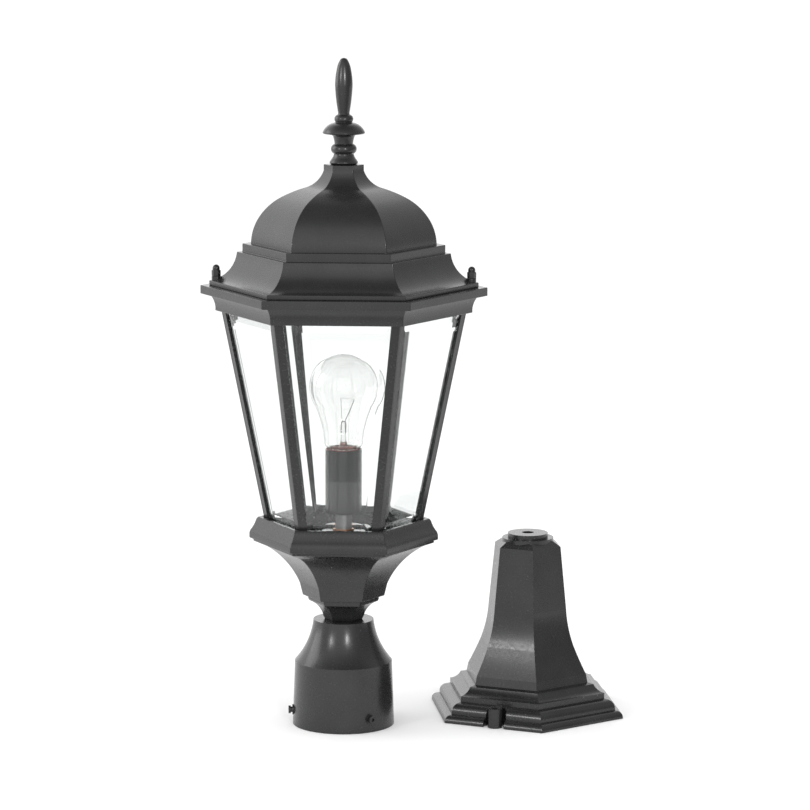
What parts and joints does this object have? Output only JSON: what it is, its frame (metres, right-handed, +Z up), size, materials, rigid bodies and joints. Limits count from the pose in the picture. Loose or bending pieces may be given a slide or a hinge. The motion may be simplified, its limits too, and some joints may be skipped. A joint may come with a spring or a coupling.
{
  "type": "post top lantern",
  "caption": "Hexagonal post top lantern with a glazed cage, stepped bell roof, finial and round post fitter, and a separate flared pier mount base.",
  "frame": {"origin": "centre of the post fitter's open mouth", "axes": "+Z up along the post; a flat of the hexagonal cage faces -Y and two of its corners lie on X"},
  "size_m": [0.3738, 0.2601, 0.5883],
  "materials": {
    "black_powder_coat": "satin, very fine texture",
    "clear_glass": "clear, polished",
    "zinc_steel": "satin",
    "black_hardware": "satin",
    "copper_washer": "satin",
    "black_enamel": "gloss",
    "phenolic": "matte",
    "red_fibre": "matte",
    "brass": "satin",
    "nickel_plate": "satin",
    "solder": "satin",
    "black_glass": "gloss",
    "tungsten": "satin"
  },
  "bodies": {
    "lantern": {"body_cup": "black_powder_coat", "bottom_frame": "black_powder_coat", "clip_screws": "zinc_steel", "corner_clips": "black_powder_coat", "corner_post_1": "black_powder_coat", "corner_post_2": "black_powder_coat", "corner_post_3": "black_powder_coat", "corner_post_4": "black_powder_coat", "corner_post_5": "black_powder_coat", "corner_post_6": "black_powder_coat", "floor_plate": "black_powder_coat", "locknuts": "zinc_steel", "nipple": "zinc_steel", "pane_1": "clear_glass", "pane_2": "clear_glass", "pane_3": "clear_glass", "pane_4": "clear_glass", "pane_5": "clear_glass", "pane_6": "clear_glass", "post_fitter": "black_powder_coat", "post_screws": "zinc_steel", "roof_studs": "zinc_steel", "socket_block": "phenolic", "socket_contact": "brass", "socket_liner": "red_fibre", "socket_shell": "brass", "socket_sleeve": "black_enamel", "socket_stem": "zinc_steel", "stem_cover": "black_powder_coat", "stem_washer": "copper_washer", "top_frame": "black_powder_coat"},
    "roof_unit": {"roof": "black_powder_coat", "finial": "black_powder_coat", "finial_stud": "zinc_steel", "finial_nut": "zinc_steel"},
    "lamp": {"lamp_envelope": "clear_glass", "lamp_cap": "nickel_plate", "lamp_insulator": "black_glass", "lamp_button": "solder", "lamp_stem": "clear_glass", "lamp_supports": "zinc_steel", "lamp_filament": "tungsten"},
    "cap_nut_r": {"cap_nut_right": "black_hardware"},
    "cap_nut_l": {"cap_nut_left": "black_hardware"},
    "pier_mount": {"pier_base": "black_powder_coat"},
    "clamp_screw_1": {"set_screw_1": "black_hardware"},
    "clamp_screw_2": {"set_screw_2": "black_hardware"},
    "clamp_screw_3": {"set_screw_3": "black_hardware"}
  },
  "joints": [
    {"name": "roof_lift", "type": "slide", "parent": "lantern", "child": "roof_unit", "axis": [0, 0, 1], "range_m": [0, 0.15]},
    {"name": "cap_nut_right_off", "type": "slide", "parent": "roof_unit", "child": "cap_nut_r", "axis": [0, 0, 1], "range_m": [0, 0.012]},
    {"name": "cap_nut_left_off", "type": "slide", "parent": "roof_unit", "child": "cap_nut_l", "axis": [0, 0, 1], "range_m": [0, 0.012]},
    {"name": "lamp_unscrew", "type": "slide", "parent": "lantern", "child": "lamp", "axis": [0, 0, 1], "range_m": [0, 0.03]},
    {"name": "pier_base_lift", "type": "slide", "parent": "lantern", "child": "pier_mount", "axis": [0, 0, 1], "range_m": [0, 0.1]},
    {"name": "clamp_screw_1_turn", "type": "slide", "parent": "lantern", "child": "clamp_screw_1", "axis": [0.5793, -0.8151, 0], "range_m": [-0.0013, 0.006]},
    {"name": "clamp_screw_2_turn", "type": "slide", "parent": "lantern", "child": "clamp_screw_2", "axis": [0.4163, 0.9092, 0], "range_m": [-0.0013, 0.006]},
    {"name": "clamp_screw_3_turn", "type": "slide", "parent": "lantern", "child": "clamp_screw_3", "axis": [-0.9956, -0.0941, 0], "range_m": [-0.0013, 0.006]}
  ]
}
